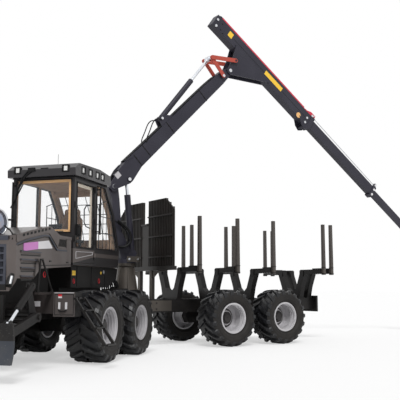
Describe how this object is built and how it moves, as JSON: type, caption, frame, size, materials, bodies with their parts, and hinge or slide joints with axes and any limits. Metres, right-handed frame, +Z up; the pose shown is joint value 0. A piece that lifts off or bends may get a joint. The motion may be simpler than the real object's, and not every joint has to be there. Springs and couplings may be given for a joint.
{
  "type": "forestry forwarder",
  "caption": "Eight-wheeled articulated forestry forwarder with cab, hood, log bunk with stakes, jointed telescopic crane with grapple, and front blade.",
  "frame": {"origin": "on the ground under the middle of the whole machine's bounding box", "axes": "+X forwards along the rear frame, +Y to the rear frame's left, +Z up"},
  "size_m": [16.7818, 6.3092, 8.6527],
  "materials": {
    "tyre": "moulded rubber",
    "rim": "satin silver paint",
    "chassis": "satin black paint",
    "crane": "charcoal paint",
    "crane_links": "red paint",
    "body": "pewter metallic paint",
    "racks": "dark brown-grey paint",
    "bronze": "grey-bronze paint",
    "chrome_rod": "polished",
    "glazing": "tinted",
    "upholstery": "woven",
    "lamp": "clear lens",
    "cast": "painted casting",
    "rail": "black paint"
  },
  "bodies": {
    "rear_frame": {"rear_chassis": "chassis", "rear_bogies": "cast", "bunks": "chassis", "stakes": "racks", "headboard": "racks", "crane_base": "bronze"},
    "front_frame": {"front_chassis": "chassis", "front_bogies": "cast", "engine": "cast", "lockers": "chassis", "cab_shell": "body", "cab_roof": "body", "cab_glass": "glazing", "rails": "rail", "work_lamps": "lamp"},
    "hood": {"hood": "body", "grille": "chassis"},
    "door": {"door": "body", "door_glass": "glazing"},
    "seat": {"seat": "upholstery"},
    "ladder": {"ladder": "chassis"},
    "blade": {"blade": "chassis"},
    "blade_barrels": {"blade_barrels": "chassis"},
    "blade_rods": {"blade_rods": "chrome_rod"},
    "wheel_front_left_1": {"tyre_front_left_1": "tyre", "rim_front_left_1": "rim"},
    "wheel_front_left_2": {"tyre_front_left_2": "tyre", "rim_front_left_2": "rim"},
    "wheel_front_right_1": {"tyre_front_right_1": "tyre", "rim_front_right_1": "rim"},
    "wheel_front_right_2": {"tyre_front_right_2": "tyre", "rim_front_right_2": "rim"},
    "wheel_rear_left_1": {"tyre_rear_left_1": "tyre", "rim_rear_left_1": "rim"},
    "wheel_rear_left_2": {"tyre_rear_left_2": "tyre", "rim_rear_left_2": "rim"},
    "wheel_rear_right_1": {"tyre_rear_right_1": "tyre", "rim_rear_right_1": "rim"},
    "wheel_rear_right_2": {"tyre_rear_right_2": "tyre", "rim_rear_right_2": "rim"},
    "steer_barrel_left": {"steer_barrel_left": "chassis"},
    "steer_rod_left": {"steer_rod_left": "chrome_rod"},
    "steer_barrel_right": {"steer_barrel_right": "chassis"},
    "steer_rod_right": {"steer_rod_right": "chrome_rod"},
    "pillar": {"pillar": "crane"},
    "main_boom": {"main_boom": "crane"},
    "lift_barrel": {"lift_barrel": "crane"},
    "lift_rod": {"lift_rod": "chrome_rod"},
    "tilt_barrel": {"tilt_barrel": "crane"},
    "tilt_rod": {"tilt_rod": "chrome_rod"},
    "boom_link": {"boom_link": "crane_links"},
    "stick_link": {"stick_link": "crane_links"},
    "extension_1": {"extension_1": "crane"},
    "extension_2": {"extension_2": "crane"},
    "tip_link": {"tip_link": "crane"},
    "rotator": {"rotator": "crane"},
    "grapple_frame": {"grapple_frame": "crane"},
    "jaw_left": {"jaw_left": "crane"},
    "jaw_right": {"jaw_right": "crane"},
    "stick": {"stick": "crane"}
  },
  "joints": [
    {"name": "steering", "type": "hinge", "parent": "rear_frame", "child": "front_frame", "pos_m": [2.83659, -1.73455, 0.953], "axis": [0, 0, 1], "range_deg": [-83.4, 4.6]},
    {"name": "spin_front_left_1", "type": "hinge", "parent": "front_frame", "child": "wheel_front_left_1", "pos_m": [4.35199, 0.89491, 0.668], "axis": [-0.6347, 0.7727, 0], "continuous": true},
    {"name": "spin_front_left_2", "type": "hinge", "parent": "front_frame", "child": "wheel_front_left_2", "pos_m": [3.11562, -0.12066, 0.668], "axis": [-0.6347, 0.7727, 0], "continuous": true},
    {"name": "spin_front_right_1", "type": "hinge", "parent": "front_frame", "child": "wheel_front_right_1", "pos_m": [5.71032, -0.75874, 0.668], "axis": [-0.6347, 0.7727, 0], "continuous": true},
    {"name": "spin_front_right_2", "type": "hinge", "parent": "front_frame", "child": "wheel_front_right_2", "pos_m": [4.47394, -1.77431, 0.668], "axis": [-0.6347, 0.7727, 0], "continuous": true},
    {"name": "spin_rear_left_1", "type": "hinge", "parent": "rear_frame", "child": "wheel_rear_left_1", "pos_m": [0.16659, -0.66455, 0.668], "axis": [0, 1, 0], "continuous": true},
    {"name": "spin_rear_left_2", "type": "hinge", "parent": "rear_frame", "child": "wheel_rear_left_2", "pos_m": [-1.43341, -0.66455, 0.668], "axis": [0, 1, 0], "continuous": true},
    {"name": "spin_rear_right_1", "type": "hinge", "parent": "rear_frame", "child": "wheel_rear_right_1", "pos_m": [0.16659, -2.80455, 0.668], "axis": [0, 1, 0], "continuous": true},
    {"name": "spin_rear_right_2", "type": "hinge", "parent": "rear_frame", "child": "wheel_rear_right_2", "pos_m": [-1.43341, -2.80455, 0.668], "axis": [0, 1, 0], "continuous": true},
    {"name": "steer_barrel_left", "type": "hinge", "parent": "rear_frame", "child": "steer_barrel_left", "pos_m": [2.13659, -1.47455, 0.698], "axis": [0, 0, 1], "range_deg": [-33, 2.5]},
    {"name": "steer_rod_left", "type": "slide", "parent": "steer_barrel_left", "child": "steer_rod_left", "axis": [0.9615, 0.2748, 0], "range_m": [-0.03, 0.463]},
    {"name": "steer_barrel_right", "type": "hinge", "parent": "rear_frame", "child": "steer_barrel_right", "pos_m": [2.13659, -1.99455, 0.698], "axis": [0, 0, 1], "range_deg": [-33, 2.5]},
    {"name": "steer_rod_right", "type": "slide", "parent": "steer_barrel_right", "child": "steer_rod_right", "axis": [0.9718, 0.2358, 0], "range_m": [-0.358, 0.024]},
    {"name": "slew", "type": "hinge", "parent": "rear_frame", "child": "pillar", "pos_m": [2.31659, -1.73455, 1.948], "axis": [0, 0, -1], "range_deg": [-190, 190]},
    {"name": "boom_lift", "type": "hinge", "parent": "pillar", "child": "main_boom", "pos_m": [2.73659, -1.73455, 3.738], "axis": [0, 1, 0], "range_deg": [-33, 30]},
    {"name": "lift_barrel", "type": "hinge", "parent": "pillar", "child": "lift_barrel", "pos_m": [2.16659, -1.73455, 2.188], "axis": [0, 1, 0], "range_deg": [-3, 3]},
    {"name": "lift_rod", "type": "slide", "parent": "lift_barrel", "child": "lift_rod", "axis": [0.097, 0, 0.9953], "range_m": [-0.242, 0.22]},
    {"name": "stick", "type": "hinge", "parent": "main_boom", "child": "stick", "pos_m": [-0.68298, -1.73455, 7.15757], "axis": [0, -1, 0], "range_deg": [-55, 30]},
    {"name": "tilt_barrel", "type": "hinge", "parent": "main_boom", "child": "tilt_barrel", "pos_m": [1.40016, -1.73455, 5.5694], "axis": [0, -1, 0], "range_deg": [-1, 1]},
    {"name": "tilt_rod", "type": "slide", "parent": "tilt_barrel", "child": "tilt_rod", "axis": [-0.6249, 0, 0.7807], "range_m": [-0.377, 0.208]},
    {"name": "boom_link", "type": "hinge", "parent": "main_boom", "child": "boom_link", "pos_m": [-0.44327, -1.73455, 6.96735], "axis": [0, -1, 0], "range_deg": [-39, 21.5]},
    {"name": "stick_link", "type": "hinge", "parent": "stick", "child": "stick_link", "pos_m": [-0.83359, -1.73455, 7.44819], "axis": [0, -1, 0], "range_deg": [-15.5, 28]},
    {"name": "extension_1", "type": "slide", "parent": "stick", "child": "extension_1", "axis": [-0.8192, 0, -0.5736], "range_m": [-2.6, 0.1]},
    {"name": "extension_2", "type": "slide", "parent": "extension_1", "child": "extension_2", "axis": [-0.8192, 0, -0.5736], "range_m": [-2.09, 0.085]},
    {"name": "tip_swing", "type": "hinge", "parent": "extension_2", "child": "tip_link", "pos_m": [-8.22587, -1.73455, 2.90142], "axis": [0, 1, 0], "range_deg": [-70, 45]},
    {"name": "rotator_swing", "type": "hinge", "parent": "tip_link", "child": "rotator", "pos_m": [-8.22587, -1.73455, 2.67142], "axis": [1, 0, 0], "range_deg": [-35, 35]},
    {"name": "rotator_turn", "type": "hinge", "parent": "rotator", "child": "grapple_frame", "pos_m": [-8.22587, -1.73455, 2.36112], "axis": [0, 0, 1], "continuous": true},
    {"name": "jaw_left", "type": "hinge", "parent": "grapple_frame", "child": "jaw_left", "pos_m": [-8.22587, -1.54455, 2.10112], "axis": [1, 0, 0], "range_deg": [0, 55]},
    {"name": "jaw_right", "type": "hinge", "parent": "grapple_frame", "child": "jaw_right", "pos_m": [-8.22587, -1.92455, 2.10112], "axis": [1, 0, 0], "range_deg": [-55, 0]},
    {"name": "hood_tilt", "type": "hinge", "parent": "front_frame", "child": "hood", "pos_m": [6.70412, 1.44227, 1.333], "axis": [-0.6347, 0.7727, 0], "range_deg": [0, 40]},
    {"name": "door_swing", "type": "hinge", "parent": "front_frame", "child": "door", "pos_m": [4.00989, 0.10143, 2.698], "axis": [0, 0, 1], "range_deg": [0, 85]},
    {"name": "seat_swivel", "type": "hinge", "parent": "front_frame", "child": "seat", "pos_m": [4.38206, -0.46509, 2.098], "axis": [0, 0, 1], "range_deg": [0, 180]},
    {"name": "ladder_fold", "type": "hinge", "parent": "front_frame", "child": "ladder", "pos_m": [5.01089, 1.63672, 1.188], "axis": [0.7727, 0.6347, 0], "range_deg": [0, 125]},
    {"name": "blade_lift", "type": "hinge", "parent": "front_frame", "child": "blade", "pos_m": [6.46844, 1.24868, 0.898], "axis": [-0.6347, 0.7727, 0], "range_deg": [-12, 10]},
    {"name": "blade_barrels", "type": "hinge", "parent": "front_frame", "child": "blade_barrels", "pos_m": [6.5998, 1.35659, 1.398], "axis": [-0.6347, 0.7727, 0], "range_deg": [-10, 8.5]},
    {"name": "blade_rods", "type": "slide", "parent": "blade_barrels", "child": "blade_rods", "axis": [0.5886, 0.4834, -0.648], "range_m": [-0.108, 0.09]}
  ],
  "couplings": [
    {"joint": "steer_barrel_left", "follows": "steering", "ratio": 0.3669},
    {"joint": "steer_rod_left", "follows": "steering", "m_per_rad": -0.3147},
    {"joint": "steer_barrel_right", "follows": "steering", "ratio": 0.3853},
    {"joint": "steer_rod_right", "follows": "steering", "m_per_rad": 0.2427},
    {"joint": "lift_barrel", "follows": "boom_lift", "ratio": 0.0767},
    {"joint": "lift_rod", "follows": "boom_lift", "m_per_rad": 0.4118},
    {"joint": "tilt_barrel", "follows": "stick", "ratio": -0.0117},
    {"joint": "tilt_rod", "follows": "stick", "m_per_rad": 0.3875},
    {"joint": "boom_link", "follows": "stick", "ratio": 0.6924},
    {"joint": "stick_link", "follows": "stick", "ratio": -0.4974},
    {"joint": "extension_2", "follows": "extension_1", "ratio": 0.8},
    {"joint": "jaw_right", "follows": "jaw_left", "ratio": -1},
    {"joint": "blade_barrels", "follows": "blade_lift", "ratio": 0.7897},
    {"joint": "blade_rods", "follows": "blade_lift", "m_per_rad": 0.4939}
  ]
}
